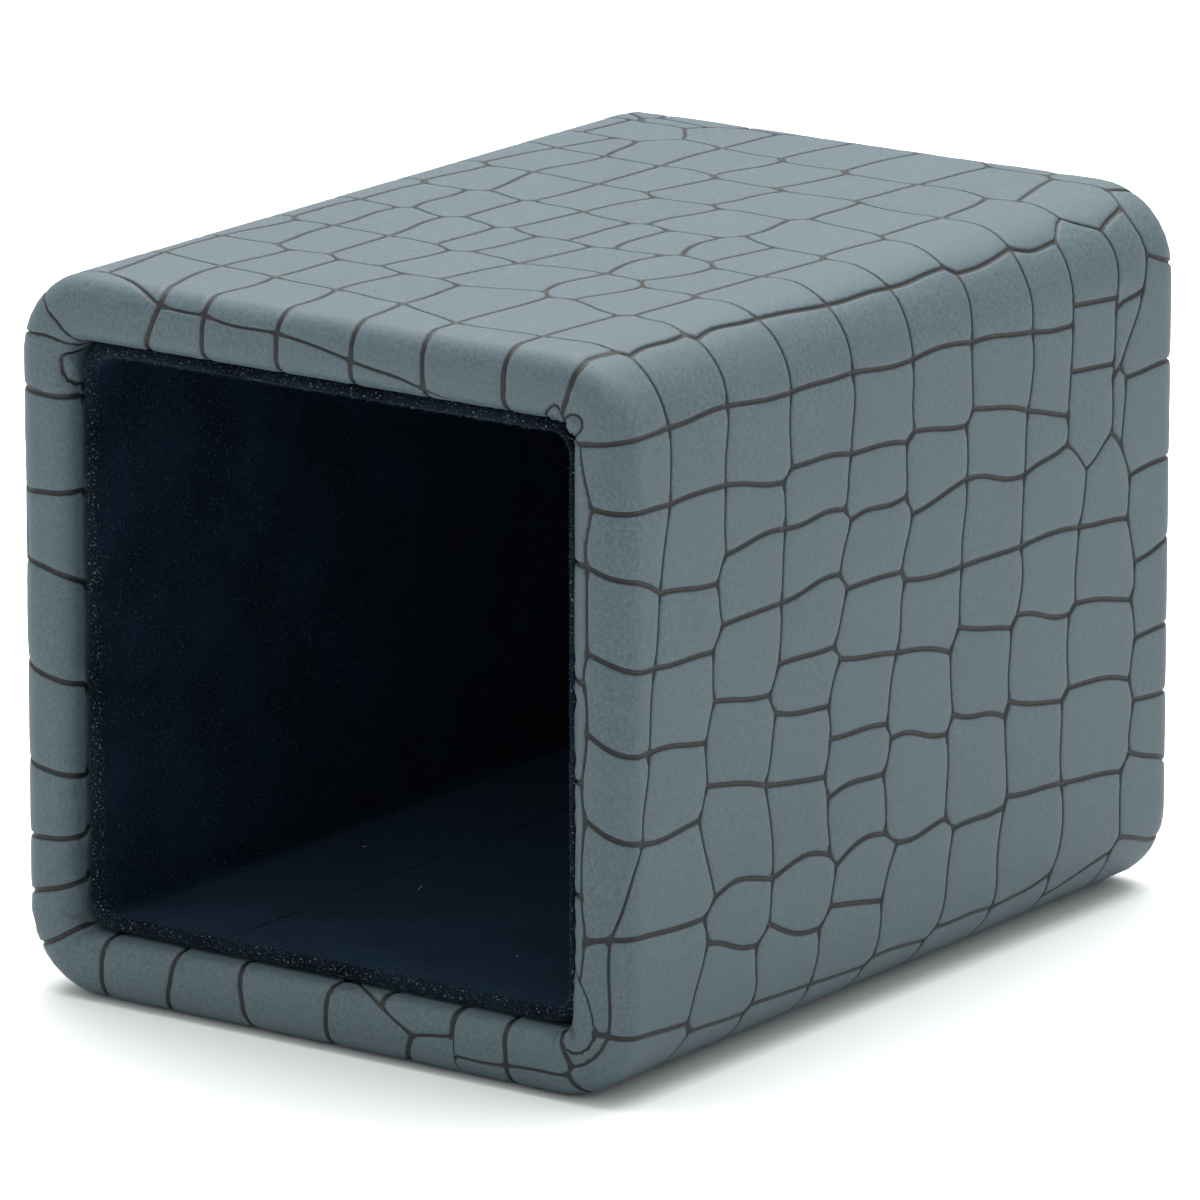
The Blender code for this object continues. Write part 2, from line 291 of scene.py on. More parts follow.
def cross_places(band, end, low, high):
    """A band's cross grooves where they meet its first ring (end 0) or its next (end 1)."""
    if band == HEM_RING:
        return [(ends[end], (band, number, 0)) for number, ends in enumerate(HEM_GROOVES)]
    found = []
    for number, ends in enumerate(CROSS_GROOVES[band % PLATE_BANDS]):
        start = ends[end] + (band // PLATE_BANDS) * BAND_SHIFT
        repeat = math.floor((low - start) / PLATE_REPEAT)
        while start + repeat * PLATE_REPEAT < high:
            place = start + repeat * PLATE_REPEAT
            on_top = LIP_FROM[0] - LIP_SLACK < place < LIP_FROM[-1] + LIP_SLACK
            if band == LIP_RING and end == 0 and on_top:
                place = float(np.interp(place, LIP_FROM, LIP_TO))
            found.append((place, (band, number, repeat)))
            repeat += 1
    return found


def ring_events(ring, low, high):
    """The cross grooves' ends on a ring: [place round, side, (band, groove, repeat)]."""
    before = [[place, -1, key] for place, key in cross_places(ring - 1, 1, low, high)]
    return sorted(before + [[place, 1, key] for place, key in cross_places(ring, 0, low, high)])


def ring_place(ring, place, pull):
    """How far along the plate a ring is at a place round the cup."""
    if ring == LIP_RING and place > RING_ON_LIP[0][0]:
        spots, shifts = zip(*RING_ON_LIP)
        return float(np.interp(place, spots, shifts)) + PULL_ON_LIP * pull
    drawn_in = float(np.interp(place, SEAM_PLACES, SEAM_SHIFTS)) if ring == LIP_RING + 1 else 0
    spot = place if ring == HEM_RING else plate_phase(ring, place)
    return FIRST_RING + RING_SPACING * (ring - 1) + sway(ring, spot) + pull + drawn_in


def lay_grooves(low, high, rings):
    """The plate's grooves as (half width, points on the strip), between two places round the cup."""
    ends, grooves = {}, []
    for ring in rings:
        chain = []
        events = ring_events(ring, low, high)
        skip = False
        for event, following in zip(events, events[1:] + [None]):
            if skip:
                skip = False
                continue
            place, side, key = event
            rng = random.Random(f"{ring} {key[0]} {key[1]}")
            together = (
                following is not None
                and following[1] != side
                and following[0] - place < SAME_PLACE
                and not in_eye(ring, place)
            )
            if together:
                place = (place + following[0]) / 2
                point = (ring_place(ring, place, rng.gauss(0, MET_END_SPREAD)), place)
                ends[(ring, following[2])] = point
                skip = True
            else:
                shift = side * PULL
                if in_eye(ring, place):
                    shift = EYE_NEAR if side < 0 else EYE_FAR
                point = (ring_place(ring, place, shift + rng.gauss(0, END_SPREAD)), place)
            ends[(ring, key)] = point
            chain.append((point, side))
        grooves += ring_lines(ring, chain)
    for (ring, key), start in ends.items():
        band, number, _ = key
        if ring != band or (band + 1, key) not in ends:
            continue
        rng = random.Random(f"cross {band % PLATE_BANDS} {number}")
        bow = rng.gauss(0, CROSS_BOW_SPREAD)
        if (band % PLATE_BANDS, number) in BOWED_GROOVES:
            bow = BOWED_BY
        grooves.append((CROSS_HALF_WIDTH, curved(start, ends[(band + 1, key)], bow, rng)))
    return [(width, [plate_to_strip(point) for point in line]) for width, line in grooves]


def ring_lines(ring, chain):
    """A ring's grooves, and its two branches and their crossings where it parts."""
    lines, near, far, before = [], [], [], None
    for point, side in chain:
        if not in_eye(ring, point[1]):
            if near or far:
                top = eye_tip(ring, before[1], EYE_FROM)
                bottom = eye_tip(ring, before[1], EYE_TO)
                lines += join(ring, [before, top] + near + [bottom, point])
                lines += join(ring, [top] + far + [bottom])
                for crossing in EYE_CROSSINGS:
                    place = top[1] + crossing - EYE_FROM
                    start, end = across(near, place), across(far, place)
                    start = (start[0] - EYE_OVERLAP, place)
                    end = (end[0] + EYE_OVERLAP, place)
                    lines.append((CROSS_HALF_WIDTH, border_line(start, end, LIP_STEP)))
                near, far = [], []
            elif before is not None:
                lines += join(ring, [before, point])
            before = point
        elif before is not None:
            (near if side < 0 else far).append(point)
    return lines


def across(branch, place):
    """Where a branch of the eye passes a place round the cup."""
    rows = sorted((point[1], point[0]) for point in branch)
    return (float(np.interp(place, [row[0] for row in rows], [row[1] for row in rows])), place)


def eye_tip(ring, before, spot):
    """The eye's tip at a plate spot, in the repeat that follows a place on the ring."""
    place = spot + (ring // PLATE_BANDS) * BAND_SHIFT
    place += math.ceil((before - place) / PLATE_REPEAT) * PLATE_REPEAT
    return (ring_place(ring, place, EYE_TIP), place)


def join(ring, points):
    """Grooves of a ring's half width from point to point."""
    lines = []
    for start, end in zip(points, points[1:]):
        spot = plate_phase(ring, start[1]) % PLATE_REPEAT
        rng = random.Random(f"ring {ring % PLATE_BANDS} {spot:.2f}")
        length = math.dist(start, end)
        bow = rng.gauss(0, RING_BOW_SPREAD) * length
        lines.append((RING_HALF_WIDTH, curved(start, end, bow, rng)))
    return lines


def curved(start, end, bow, rng):
    """Points along a groove that bows to one side and wavers a little."""
    length = math.dist(start, end)
    steps = max(1, round(length / LIP_STEP))
    waver = rng.gauss(0, WAVER_SPREAD) * length
    along = ((end[0] - start[0]) / length, (end[1] - start[1]) / length)
    points = []
    for step in range(steps + 1):
        share = step / steps
        off = bow * math.sin(math.pi * share) + waver * math.sin(2 * math.pi * share)
        points.append((start[0] + along[0] * length * share - along[1] * off,
                       start[1] + along[1] * length * share + along[0] * off))
    return points


def plate_to_strip(point):
    """A point of the leaning plate as (around, along) on the sleeve's strip."""
    along = point[0] * math.cos(PLATE_LEAN) - point[1] * math.sin(PLATE_LEAN)
    around = point[0] * math.sin(PLATE_LEAN) + point[1] * math.cos(PLATE_LEAN) + TOP_LEFT
    return around, along


def lip_folds():
    """The outlines of the small rounded tabs that the leather folds into at the mouth's corners."""
    outlines = []
    for corner, first, last, top in LIP_FOLDS:
        start, rise = GIRTH_AT[corner] + first, top - MOUTH_EDGE
        outline = []
        for part in range(FOLD_PARTS + 1):
            turn = math.pi * part / FOLD_PARTS
            outline.append((start + (last - first) * (1 - math.cos(turn)) / 2,
                            MOUTH_EDGE - FOLD_OVERLAP + rise * math.sin(turn) ** FOLD_BLUNTNESS))
        outlines.append(outline)
    return outlines


def lip_creases():
    """The tabs' outlines and the creases at the mouth's corners, as (half width, points)."""
    lines = [(CREASE_HALF_WIDTH, outline) for outline in lip_folds()]
    for corner, spots in LIP_CREASES:
        spots = [(GIRTH_AT[corner] + around, along) for around, along in spots]
        points = []
        for start, end in zip(spots, spots[1:]):
            points += border_line(start, end, LIP_STEP)[:-1]
        lines.append((CREASE_HALF_WIDTH, points + [spots[-1]]))
    return lines


# From grooves to a mesh


def thin_out(points, step_at):
    """Leaves out points that stand nearer to the last one kept than the step there."""
    kept = [points[0]]
    for point in points[1:-1]:
        if math.dist(point, kept[-1]) >= step_at(point):
            kept.append(point)
    if len(kept) > 1 and math.dist(kept[-1], points[-1]) < 0.5 * step_at(points[-1]):
        kept.pop()
    return kept + [points[-1]]


def clipped(line, low, high):
    """The stretches of a line that lie inside a rectangle."""
    stretches, open_end = [], False
    for start, end in zip(line, line[1:]):
        enter, leave = 0.0, 1.0
        for axis in (0, 1):
            run = end[axis] - start[axis]
            for limit, side in ((low[axis], 1), (high[axis], -1)):
                into = side * (start[axis] - limit)
                change = side * run
                if abs(change) < 1e-12:
                    if into < 0:
                        leave = -1.0
                elif change > 0:
                    enter = max(enter, -into / change)
                else:
                    leave = min(leave, -into / change)
        if leave - enter < 1e-9:
            open_end = False
            continue
        places = [(start[0] + (end[0] - start[0]) * share, start[1] + (end[1] - start[1]) * share)
                  for share in (enter, leave)]
        if enter == 0 and open_end:
            stretches[-1].append(places[1])
        else:
            stretches.append(places)
        open_end = leave == 1
    return stretches


def planar_net(lines):
    """Cuts all lines where they meet. Returns points, and edges as {(a, b): half width}."""
    points, edges, widths = [], [], []
    for width, line in lines:
        first = len(points)
        points += [Vector(point) for point in line]
        for number in range(first, len(points) - 1):
            edges.append((number, number + 1))
            widths.append(width)
    made = delaunay_2d_cdt(points, edges, [], 0, NET_TOLERANCE)
    net = {}
    for pair, sources in zip(made[1], made[4]):
        if sources:
            net[tuple(sorted(pair))] = max(widths[source] for source in sources)
    return np.array([tuple(point) for point in made[0]]), net


def prune(net):
    """Takes away grooves that end in the open."""
    while True:
        count = {}
        for pair in net:
            for end in pair:
                count[end] = count.get(end, 0) + 1
        loose = [pair for pair in net if min(count[pair[0]], count[pair[1]]) < 2]
        if not loose:
            return net
        for pair in loose:
            del net[pair]


def cells_of(points, net):
    """The closed cells between the lines, anticlockwise, and the outline round them all, clockwise."""
    around = {}
    for a, b in net:
        around.setdefault(a, []).append(b)
        around.setdefault(b, []).append(a)
    turn = {}
    for centre, others in around.items():
        others.sort(key=lambda other: math.atan2(*(points[other] - points[centre])[::-1]))
        for number, other in enumerate(others):
            turn[(other, centre)] = (centre, others[number - 1])
    cells, outlines, used = [], [], set()
    for start in turn:
        if start in used:
            continue
        loop, edge = [], start
        while edge not in used:
            used.add(edge)
            loop.append(edge[0])
            edge = turn[edge]
        if area_of(points[loop]) > 0:
            cells.append(loop)
        else:
            outlines.append(loop)
    return cells, max(outlines, key=len)


def area_of(loop):
    """A loop's area, above 0 if it is anticlockwise."""
    x, y = (loop - loop.mean(axis=0)).T
    return float(np.sum(x * np.roll(y, -1) - np.roll(x, -1) * y)) / 2


def hearts_of(loop):
    """For each point of a cell's outline, the place in the cell's middle that it shrinks towards."""
    edge = np.linalg.norm(np.roll(loop, -1, axis=0) - np.roll(loop, 1, axis=0), axis=1)
    centre = (loop * edge[:, None]).sum(axis=0) / edge.sum()
    away = loop - centre
    axes = np.linalg.eigh((away * edge[:, None]).T @ away)[1]
    long_way, short_way = away @ axes[:, 1], away @ axes[:, 0]
    spine = SPINE_SHARE * max(0.0, np.abs(long_way).max() - np.abs(short_way).max())
    return centre + np.clip(long_way, -spine, spine)[:, None] * axes[:, 1]


def gaps_to(places, outline):
    """How far each point in space is from a closed outline in space, and that outline's nearest leg."""
    run = np.roll(outline, -1, axis=0) - outline
    off = places[:, None, :] - outline[None]
    share = np.clip((off * run).sum(axis=2) / np.maximum((run * run).sum(axis=1), 1e-12), 0, 1)
    gaps = np.linalg.norm(off - share[..., None] * run, axis=2)
    return gaps.min(axis=1), gaps.argmin(axis=1)


def inside(outline, places):
    """Which places lie inside an outline."""
    x, y = places[:, 0][:, None], places[:, 1][:, None]
    ax, ay = outline[:, 0], outline[:, 1]
    bx, by = np.roll(ax, -1), np.roll(ay, -1)
    crosses = ((ay > y) != (by > y)) & (x < (bx - ax) * (y - ay) / (by - ay + 1e-12) + ax)
    return crosses.sum(axis=1) % 2 == 1


class Skin:
    """Collects the points and faces of an embossed sheet on its unrolled pattern."""

    def __init__(self, surface, grid):
        self.places, self.heights, self.marks, self.tints, self.faces = [], [], [], [], []
        self.surface, self.grid = surface, grid

    def flat(self, places):
        """Points of the sheet's face in space, in millimetres, with no embossing."""
        return self.surface(places[:, 0], places[:, 1], np.zeros(len(places))) / MM

    def add(self, places, heights, marks, tint=0.5):
        """Adds points, with how much groove each is and its cell's tint, and returns their numbers."""
        first = len(self.places)
        count = len(places)
        self.places += [tuple(place) for place in places]
        self.heights += list(np.broadcast_to(heights, count))
        self.marks += list(np.broadcast_to(marks, count))
        self.tints += [tint] * count
        return list(range(first, first + count))

    def between(self, outer, inner):
        """Joins two loops of as many points with faces."""
        for number in range(len(outer)):
            after = (number + 1) % len(outer)
            self.faces.append((outer[number], outer[after], inner[after], inner[number]))

    def middle_of(self, ring, grid, spacing):
        """The places of a grid that lie inside a ring and clear of it."""
        outline = np.array([self.places[n] for n in ring])
        low, high = outline.min(axis=0), outline.max(axis=0)
        grid = grid[((grid > low) & (grid < high)).all(axis=1)]
        if len(grid):
            grid = grid[inside(outline, grid)]
        if len(grid):
            grid = grid[gaps_to(self.flat(grid), self.flat(outline))[0] > spacing]
        return grid

    def fill(self, ring, middle, heights, marks=0, tint=0.5, back=False):
        """Closes a cell with triangles over the places in its middle."""
        points = [Vector(self.places[n]) for n in ring] + [Vector(place) for place in middle]
        heights = np.broadcast_to(heights, max(1, len(middle)))
        marks = np.broadcast_to(marks, max(1, len(middle)))
        rim = list(range(len(ring)))
        made = delaunay_2d_cdt(points, [], [rim[::-1] if back else rim], 1, 1e-6)
        indices = []
        for place, sources in zip(made[0], made[3]):
            if sources and sources[0] < len(ring):
                indices.append(ring[sources[0]])
            else:
                row = sources[0] - len(ring) if sources else 0
                indices += self.add([tuple(place)], heights[row], marks[row], tint)
        for face in made[2]:
            corners = [indices[number] for number in face]
            if len(set(corners)) == 3:
                self.faces.append(tuple(corners[::-1] if back else corners))

    def shrunk(self, loop, hearts, outline, wants):
        """Loops inside a cell, straight towards its heart, or None if they don't clear its edge."""
        near, rings = np.zeros(len(loop)), []
        for wanted in wants:
            low, high = near.copy(), np.full(len(loop), MOST_INWARD)
            for _ in range(HALVINGS):
                middle = (low + high) / 2
                gaps = gaps_to(self.flat(loop + (hearts - loop) * middle[:, None]), outline)[0]
                short = gaps < wanted
                low, high = np.where(short, middle, low), np.where(short, high, middle)
            near = np.maximum(low, near + LOOP_GAP)
            rings.append(loop + (hearts - loop) * near[:, None])
            moved = np.linalg.norm(self.flat(rings[-1]) - outline, axis=1)
            gaps = gaps_to(self.flat(rings[-1]), outline)[0]
            near_groove = (gaps < LEAST_CLEAR * wanted).any()
            gone_far = (moved > MOST_MOVED * wanted + MOVED_SLACK).any()
            if near_groove or gone_far or not inside(loop, rings[-1]).all():
                return None
        return rings

    def close_grid(self, rim, outline, widths, depths, swell, tint):
        """Fills a bent cell over a close grid, each point as high as its distance from the edge."""
        loop = np.array([self.places[n] for n in rim])
        middle = loop.mean(axis=0)[None]
        steps = []
        for nudge in (np.array((NUDGE, 0)), np.array((0, NUDGE))):
            moved = float(np.linalg.norm(self.flat(middle + nudge) - self.flat(middle)))
            steps.append(CLOSE_STEP * NUDGE / moved)
        low, high = loop.min(axis=0), loop.max(axis=0)
        counts = [range(1, int((high[axis] - low[axis]) / steps[axis]) + 1) for axis in (0, 1)]
        numbers = np.array([(a, b) for a in counts[0] for b in counts[1]]).reshape(-1, 2)
        numbers = numbers[inside(loop, low + numbers * steps)]
        grid = low + numbers * steps
        gaps, legs = gaps_to(self.flat(grid), outline)
        wide = widths[legs]
        near_edge = (gaps > 0.6 * CLOSE_STEP) & (gaps < wide + 0.5)
        coarse = (numbers % COARSE_EVERY == 0).all(axis=1) & (gaps >= wide + 0.5)
        kept = near_edge | coarse
        grid, gaps, wide, deep = grid[kept], gaps[kept], wide[kept], depths[legs][kept]
        if not len(grid):
            self.fill(rim, grid, -GROOVE_DEPTH, 1, tint)
            return
        wall = np.interp(gaps / wide, (0, 0.5, 1), (1, WALL_DEPTH, EDGE_DEPTH))
        rise = np.where(gaps < wide, wall, np.interp(gaps - wide, (0, EASE), (EDGE_DEPTH, 0)))
        lift = swell * np.clip((gaps - wide - EASE) / SWELL_FROM_EASE, 0, 1)
        self.fill(rim, grid, lift - GROOVE_DEPTH * deep * rise, deep * rise, tint)

    def emboss(self, rim, width_of, depth_of, folded, rng):
        """Sinks the groove round a cell, and rounds the cell up a little inside it."""
        loop = np.array([self.places[n] for n in rim])
        outline, hearts = self.flat(loop), hearts_of(loop)
        room = float(gaps_to(self.flat(hearts), outline)[0].max())
        widths = np.array([width_of[n] for n in rim])
        depths = np.array([depth_of[n] for n in rim])
        swell = (FOLD_SWELL if folded else PILLOW) * rng.uniform(LEAST_SWELL, MOST_SWELL)
        tint = rng.random()
        wants = [np.minimum(widths * share + more, most * room) for share, more, most, rise in LOOPS]
        rings = self.shrunk(loop, hearts, outline, wants) if room > TIGHTEST_CELL else None
        if rings is None:
            self.close_grid(rim, outline, widths, depths, swell, tint)
            return
        outer = list(rim)
        for places, (share, more, most, rise) in zip(rings, LOOPS):
            height = swell * RIM_SWELL if rise == ON_SWELL else -GROOVE_DEPTH * depths * rise
            ring = self.add(places, height, np.clip(depths * rise, 0, 1), tint)
            self.between(outer, ring)
            outer = ring
        self.fill(outer, self.middle_of(outer, self.grid, GRID_GAP), swell, 0, tint)

    def finish(self, name):
        """Makes the object, with its groove and tint attributes."""
        places = np.array(self.places)
        points = self.surface(places[:, 0], places[:, 1], np.array(self.heights, float))
        made = mesh_object(name, points, self.faces)
        for key, values in (("groove", self.marks), ("tint", self.tints)):
            layer = made.data.attributes.new(key, "FLOAT", "POINT")
            layer.data.foreach_set("value", np.array(values, np.float32))
        made.data.set_sharp_from_angle(angle=SHARP_LEATHER)
        return made


def border_line(start, end, step):
    """Points along a straight line, about a step apart."""
    steps = max(1, round(math.dist(start, end) / step))
    return [(start[0] + (end[0] - start[0]) * n / steps, start[1] + (end[1] - start[1]) * n / steps)
            for n in range(steps + 1)]


def embossed_sheet(name, surface, lines, folds, edge, grid, back_grid, thickness):
    """A closed sheet: embossed in front, plain behind. A line of no width is a border, not a groove."""
    points, net = planar_net(lines)
    middles = np.array([(points[a] + points[b]) / 2 for a, b in net])
    plate_groove = np.array([width not in (0, CREASE_HALF_WIDTH) for width in net.values()])
    hidden = np.zeros(len(net), bool)
    for fold in folds:
        hidden |= inside(np.array(fold), middles) & plate_groove
    hidden |= ~inside(np.array(edge) * JUST_PAST, middles)
    net = prune({pair: net[pair] for pair, under in zip(list(net), hidden) if not under})
    used = sorted({end for pair in net for end in pair})
    renumber = {old: new for new, old in enumerate(used)}
    points = points[used]
    net = {(renumber[a], renumber[b]): width for (a, b), width in net.items()}
    widest = np.zeros(len(points))
    for pair, width in net.items():
        for end in pair:
            widest[end] = max(widest[end], width)
    depths = np.where(widest == 0, 0, np.where(widest > RING_HALF_WIDTH, 1.0, RING_DEPTH))
    widths = np.where(widest == 0, RING_HALF_WIDTH, widest)
    cells, outline = cells_of(points, net)
    skin = Skin(surface, grid)
    skin.add(points, -GROOVE_DEPTH * depths, depths)
    rng = random.Random(name)
    for cell in cells:
        if area_of(points[cell]) > LARGEST_CELL:
            skin.fill(cell, skin.middle_of(cell, back_grid, BACK_GAP), 0)
        else:
            heart = hearts_of(points[cell]).mean(axis=0)[None]
            folded = any(inside(np.array(fold), heart)[0] for fold in folds)
            skin.emboss(cell, widths, depths, folded, rng)
    back = skin.add(points[outline], -thickness, 0)
    skin.between(outline, back)
    skin.fill(back, skin.middle_of(back, back_grid, BACK_GAP), -thickness, back=True)
    return skin.finish(name)


def strip_step(point):
    """The distance between points on the strip: closer where it rolls over a lip."""
    along = point[1]
    near_lip = along < SIDE_START + 0.5 or along > SIDE_END - 0.5
    return LIP_STEP if near_lip else GROOVE_STEP


def strip_grid(side_step, lip_step, around_step):
    """Places on the strip for points between the grooves, closer together on the lips."""
    along = [*np.arange(SIDE_START, SIDE_END, side_step), *np.arange(RUN_START, SIDE_START, lip_step),
             *np.arange(SIDE_END, RUN_END, lip_step)]
    around = np.arange(0.9, GIRTH - 0.5, around_step)
    return np.array([(a, b) for b in along for a in around])


def sleeve_lines():
    """The grooves and the border of the strip that wraps the cup."""
    left, right = SEAM_HALF_GAP, GIRTH - SEAM_HALF_GAP
    lines = []
    for width, line in lay_grooves(-PLATE_REACH, PLATE_REACH, PLATE_RINGS) + lip_creases():
        line = thin_out(line, strip_step)
        for stretch in clipped(line, (left, MOUTH_EDGE), (right, RUN_END)):
            lines.append((width, stretch))
    lines.append((0, border_line((left, MOUTH_EDGE), (right, MOUTH_EDGE), BORDER_STEP)))
    corners = ((left, RUN_START), (right, RUN_START), (right, RUN_END), (left, RUN_END))
    for number in range(4):
        start, end = corners[number], corners[(number + 1) % 4]
        lines.append((0, border_line(start, end, LIP_STEP if number % 2 else BORDER_STEP)))
    return lines


def mesh_object(name, verts, faces, smooth=True):
    """A new object with its place in its mesh."""
    mesh = bpy.data.meshes.new(name)
    mesh.from_pydata([tuple(v) for v in verts], [], faces)
    mesh.validate()
    if smooth:
        mesh.shade_smooth()
    made = bpy.data.objects.new(name, mesh)
    bpy.context.scene.collection.objects.link(made)
    return made


strip_edge = ((0, 2 * RUN_START), (GIRTH, 2 * RUN_START), (GIRTH, RUN_END), (0, RUN_END))
leather = embossed_sheet("leather_wrap", on_sleeve, sleeve_lines(), lip_folds(), strip_edge,
                         strip_grid(2.1, 0.75, 1.7), strip_grid(4.2, 0.8, 2.6), LEATHER)
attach(leather, "root")
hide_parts("leather_sleeve")


# The closed end's panel

# The panel's face on its pattern: a square with a rolled edge all round, and the margin beyond
PANEL_HALF = (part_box("leather_base_panel")[1].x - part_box("leather_base_panel")[0].x) / MM / 2
PANEL_DEPTH = (sleeve_high.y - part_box("leather_base_panel")[0].y) / MM
PANEL_CORNER = CORNER_RADIUS - WALL
PANEL_ROLL = 1.2
PANEL_MIDDLE = (WIDTH / 2) * MM
PANEL_SHARE = (40.0, 205.0)  # where on the plate the panel was cut
PANEL_STEP = 0.8  # between points along its grooves and its border
PANEL_CLEAR = 0.05  # its cut edge stops this short of the bottom of its side
PANEL_CORNER_PARTS = 8
PANEL_LEATHER = LEATHER - 0.15


def on_panel(across_x, up, height):
    """Points on the closed end's panel, in metres, from places on its flat pattern."""
    core = PANEL_HALF - PANEL_CORNER
    flat_corner = PANEL_CORNER - PANEL_ROLL
    core_x, core_z = np.clip(across_x, -core, core), np.clip(up, -core, core)
    off_x, off_z = across_x - core_x, up - core_z
    beyond = np.maximum(np.hypot(off_x, off_z), 1e-9)
    rolled = np.clip(beyond - flat_corner, 0, None)
    turn = np.minimum(rolled / PANEL_ROLL, QUARTER)
    straight = rolled - turn * PANEL_ROLL
    radius = PANEL_ROLL + height
    out = np.where(rolled > 0, flat_corner + radius * np.sin(turn), beyond)
    sunk = np.where(rolled > 0, PANEL_ROLL - radius * np.cos(turn) + straight, -height)
    x = core_x + off_x / beyond * out
    z = core_z + off_z / beyond * out
    return np.stack([-x * MM, sleeve_high.y - sunk * MM, PANEL_MIDDLE + z * MM], axis=1)


def panel_outline(step):
    """The pattern's edge, as far out as the panel's side is deep."""
    reach = PANEL_CORNER - PANEL_ROLL + QUARTER * PANEL_ROLL + PANEL_DEPTH - PANEL_ROLL - PANEL_CLEAR
    core, points = PANEL_HALF - PANEL_CORNER, []
    for corner in range(4):
        turn = QUARTER * corner
        for part in range(PANEL_CORNER_PARTS + 1):
            angle = turn + QUARTER * part / PANEL_CORNER_PARTS
            corner_x = core if math.cos(turn + QUARTER / 2) > 0 else -core
            corner_z = core if math.sin(turn + QUARTER / 2) > 0 else -core
            points.append((corner_x + reach * math.cos(angle), corner_z + reach * math.sin(angle)))
    outline = []
    for start, end in zip(points, points[1:] + points[:1]):
        outline += border_line(start, end, step)[:-1]
    return outline


def panel_lines():
    """The grooves and the border of the panel's pattern, cut from the same plate."""
    outline = panel_outline(PANEL_STEP)
    limit, lines = max(point[0] for point in outline), [(0, outline + outline[:1])]
    for width, line in lay_grooves(-PLATE_REACH, PLATE_REACH, PLATE_RINGS):
        line = [(x - PANEL_SHARE[1], y - PANEL_SHARE[0]) for x, y in line]
        line = thin_out(line, lambda point: PANEL_STEP)
        lines += [(width, stretch) for stretch in clipped(line, (-limit, -limit), (limit, limit))]
    return lines


def panel_grid(step):
    """Places on the panel for points between the grooves, closer together where it is rolled."""
    reach = PANEL_HALF + PANEL_DEPTH
    near = PANEL_HALF - PANEL_ROLL - 1.0
    inner = list(np.arange(-near, near + 0.01, 2 * near / round(2 * near / step)))
    rim = list(np.arange(near + 0.5, reach, 0.55))
    steps = [-value for value in rim[::-1]] + inner + rim
    return np.array([(x, z) for x in steps for z in steps])


base_panel = embossed_sheet("base_panel_leather", on_panel, panel_lines(), [], panel_outline(PANEL_STEP),
                            panel_grid(1.9), panel_grid(3.0), PANEL_LEATHER)
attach(base_panel, "root")
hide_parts("leather_base_panel")
panel_size = 2 * max(point[0] for point in panel_outline(5.0)) * MM


# The velvet inside

VELVET = 0.5
LINING_HALF = (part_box("lining_velvet")[1].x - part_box("lining_velvet")[0].x) / MM / 2
LINING_FRONT = LEATHER_IN_SIGHT
LINING_BACK = (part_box("lining_velvet")[1].y - sleeve_low.y) / MM - 0.1
LINING_CORNER = 3.4
LINING_FACE = 1.4  # from the lining's outside to its velvet face
LINING_SEAM_X = -13.55
FOLD_RADIUS = LINING_FACE / 2
LINING_STEP = 1.5  # between points along its sides
LINING_CORNER_STEP = 0.9  # the same at its corners
LINING_CORNER_PARTS = 6
LINING_SEAM_HALF_GAP = 0.05
FOLD_PARTS_FRONT, FOLD_PARTS_BACK = 8, 4
FOLD_FINISH_PAST = 0.3  # the fold's own finish goes this far past the rounding
FOLD_WAVER, FOLD_WAVER_REACH = 0.14, 3  # the fold wavers by this, less and less over this depth
FACE_WAVER, FACE_WAVER_FROM = 0.05, 8  # the face wavers by this, in full from this depth
FACE_WAVER_AROUND, FACE_WAVER_DOWN = 0.7, 0.9  # how fast it changes round the cup and down it
SHARP_VELVET = math.radians(70)


def smooth_waves(seed, count, longest):
    """A soft, even waver made of a few sine waves, as a function of a length in millimetres."""
    rng = random.Random(seed)
    waves = []
    for _ in range(count):
        phase = rng.uniform(0, 2 * math.pi)
        waves.append((phase, 2 * math.pi / (longest * rng.uniform(0.35, 1))))
    return lambda place: sum(np.sin(np.asarray(place) * pace + phase) for phase, pace in waves) / count


def lining_path(step):
    """The lining's course round the opening from its seam: places on the square, and ways out."""
    flat = LINING_HALF - LINING_CORNER
    places = []
    for side in range(5):
        start = LINING_SEAM_X if side == 0 else flat
        end = LINING_SEAM_X if side == 4 else -flat
        facing = -QUARTER * (side + 1)
        spots = [spot for spot, _ in border_line((start, 0), (end, 0), step)]
        if side == 0:
            spots[0] = start - LINING_SEAM_HALF_GAP
        if side == 4:
            spots[-1] = end + LINING_SEAM_HALF_GAP
        places += [(side, -spot, facing) for spot in spots]
        if side < 4:
            for part in range(1, LINING_CORNER_PARTS):
                places.append((side, flat, facing - QUARTER * part / LINING_CORNER_PARTS))
    return places


def lining_point(place, inset, depth):
    """A point in metres from a place on the path, how far inside the path, and the depth."""
    side, across_way, turn = place
    flat = LINING_HALF - LINING_CORNER
    facing = -QUARTER * (side + 1)
    along_x, along_z = math.sin(facing), -math.cos(facing)
    centre_x = flat * math.cos(facing) + across_way * along_x
    centre_z = flat * math.sin(facing) + across_way * along_z
    out = LINING_CORNER - inset
    x = centre_x + out * math.cos(turn)
    z = centre_z + out * math.sin(turn)
    return Vector((x, depth - LENGTH / 2, WIDTH / 2 + z)) * MM


